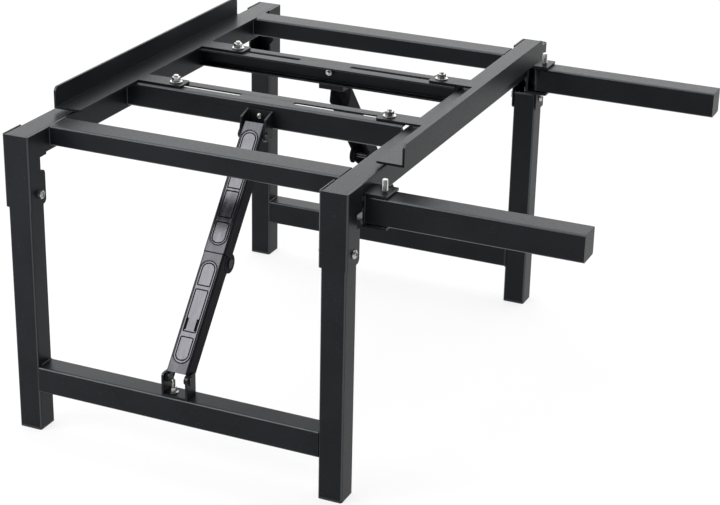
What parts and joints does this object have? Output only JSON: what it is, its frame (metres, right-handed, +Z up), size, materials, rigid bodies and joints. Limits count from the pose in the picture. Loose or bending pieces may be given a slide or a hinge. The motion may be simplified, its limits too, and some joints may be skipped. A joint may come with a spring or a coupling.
{
  "type": "hive stand",
  "caption": "Folding tubular steel hive stand with leg frames held by hinged locking braces, sliding hive stops and swing-out arms that hold hive frames.",
  "frame": {"origin": "on the ground, under the middle of the stand's outline with the arms swung out", "axes": "+X from the left rail to the arm ends, +Y from the near end to the far end along the rails, +Z up"},
  "size_m": [0.6264, 0.592, 0.37],
  "materials": {
    "powder_coat": "satin",
    "strut_coat": "gloss",
    "zinc": "zinc plated",
    "foot_plug": "matte"
  },
  "bodies": {
    "top_frame": {"left_rail": "powder_coat", "right_rail": "powder_coat", "near_cross_rail": "powder_coat", "far_cross_rail": "powder_coat", "near_slotted_bar": "powder_coat", "far_slotted_bar": "powder_coat", "near_left_socket": "powder_coat", "near_right_socket": "powder_coat", "far_left_socket": "powder_coat", "far_right_socket": "powder_coat", "leg_pivot_bolts": "zinc", "leg_pivot_nuts": "zinc", "near_arm_bracket": "powder_coat", "far_arm_bracket": "powder_coat", "arm_pivot_bolts": "zinc", "near_top_bracket": "powder_coat", "far_top_bracket": "powder_coat", "top_bracket_screws": "zinc", "top_bracket_nuts": "zinc", "top_pins": "powder_coat"},
    "near_legs": {"near_left_leg": "powder_coat", "near_right_leg": "powder_coat", "near_crossbar": "powder_coat", "near_leg_sleeves": "zinc", "near_foot_plugs": "foot_plug", "near_foot_bracket": "powder_coat", "near_foot_stud": "zinc", "near_foot_nut": "zinc", "near_foot_pins": "powder_coat"},
    "far_legs": {"far_left_leg": "powder_coat", "far_right_leg": "powder_coat", "far_crossbar": "powder_coat", "far_leg_sleeves": "zinc", "far_foot_plugs": "foot_plug", "far_foot_bracket": "powder_coat", "far_foot_stud": "zinc", "far_foot_nut": "zinc", "far_foot_pins": "powder_coat"},
    "near_lower_strut": {"near_lower_strut": "strut_coat"},
    "near_upper_strut": {"near_upper_strut": "strut_coat", "near_mid_pin": "powder_coat"},
    "far_lower_strut": {"far_lower_strut": "strut_coat"},
    "far_upper_strut": {"far_upper_strut": "strut_coat", "far_mid_pin": "powder_coat"},
    "left_stop": {"left_stop": "powder_coat", "left_stop_bolts": "zinc", "left_stop_washers": "zinc", "left_stop_nuts": "zinc"},
    "right_stop": {"right_stop": "powder_coat", "right_stop_bolts": "zinc", "right_stop_washers": "zinc", "right_stop_nuts": "zinc"},
    "near_arm": {"near_arm": "powder_coat", "near_arm_cap": "powder_coat", "near_arm_sleeve": "zinc"},
    "far_arm": {"far_arm": "powder_coat", "far_arm_cap": "powder_coat", "far_arm_sleeve": "zinc"}
  },
  "joints": [
    {"name": "near_legs_fold", "type": "hinge", "parent": "top_frame", "child": "near_legs", "pos_m": [-0.1118, -0.28, 0.275], "axis": [1, 0, 0], "range_deg": [0, 90]},
    {"name": "near_brace_foot", "type": "hinge", "parent": "near_legs", "child": "near_lower_strut", "pos_m": [-0.1118, -0.284, 0.097], "axis": [1, 0, 0], "range_deg": [0, 54]},
    {"name": "near_brace_knee", "type": "hinge", "parent": "near_lower_strut", "child": "near_upper_strut", "pos_m": [-0.1118, -0.1901, 0.19532], "axis": [1, 0, 0], "range_deg": [-172, 0]},
    {"name": "far_legs_fold", "type": "hinge", "parent": "top_frame", "child": "far_legs", "pos_m": [-0.1118, 0.28, 0.275], "axis": [-1, 0, 0], "range_deg": [0, 90]},
    {"name": "far_brace_foot", "type": "hinge", "parent": "far_legs", "child": "far_lower_strut", "pos_m": [-0.1118, 0.284, 0.097], "axis": [-1, 0, 0], "range_deg": [0, 54]},
    {"name": "far_brace_knee", "type": "hinge", "parent": "far_lower_strut", "child": "far_upper_strut", "pos_m": [-0.1118, 0.1901, 0.19532], "axis": [-1, 0, 0], "range_deg": [-172, 0]},
    {"name": "left_stop_slide", "type": "slide", "parent": "top_frame", "child": "left_stop", "axis": [1, 0, 0], "range_m": [-0.034, 0.078]},
    {"name": "right_stop_slide", "type": "slide", "parent": "top_frame", "child": "right_stop", "axis": [1, 0, 0], "range_m": [-0.11, 0.002]},
    {"name": "near_arm_swing", "type": "hinge", "parent": "top_frame", "child": "near_arm", "pos_m": [0.1019, -0.2425, 0.3135], "axis": [0, 0, 1], "range_deg": [0, 90]},
    {"name": "far_arm_swing", "type": "hinge", "parent": "top_frame", "child": "far_arm", "pos_m": [0.1019, 0.2425, 0.3135], "axis": [0, 0, 1], "range_deg": [-90, 0]}
  ],
  "couplings": [
    {"joint": "near_brace_foot", "follows": "near_legs_fold", "ratio": 0.5983},
    {"joint": "near_brace_knee", "follows": "near_legs_fold", "ratio": -1.9057},
    {"joint": "far_brace_foot", "follows": "far_legs_fold", "ratio": 0.5983},
    {"joint": "far_brace_knee", "follows": "far_legs_fold", "ratio": -1.9057}
  ]
}
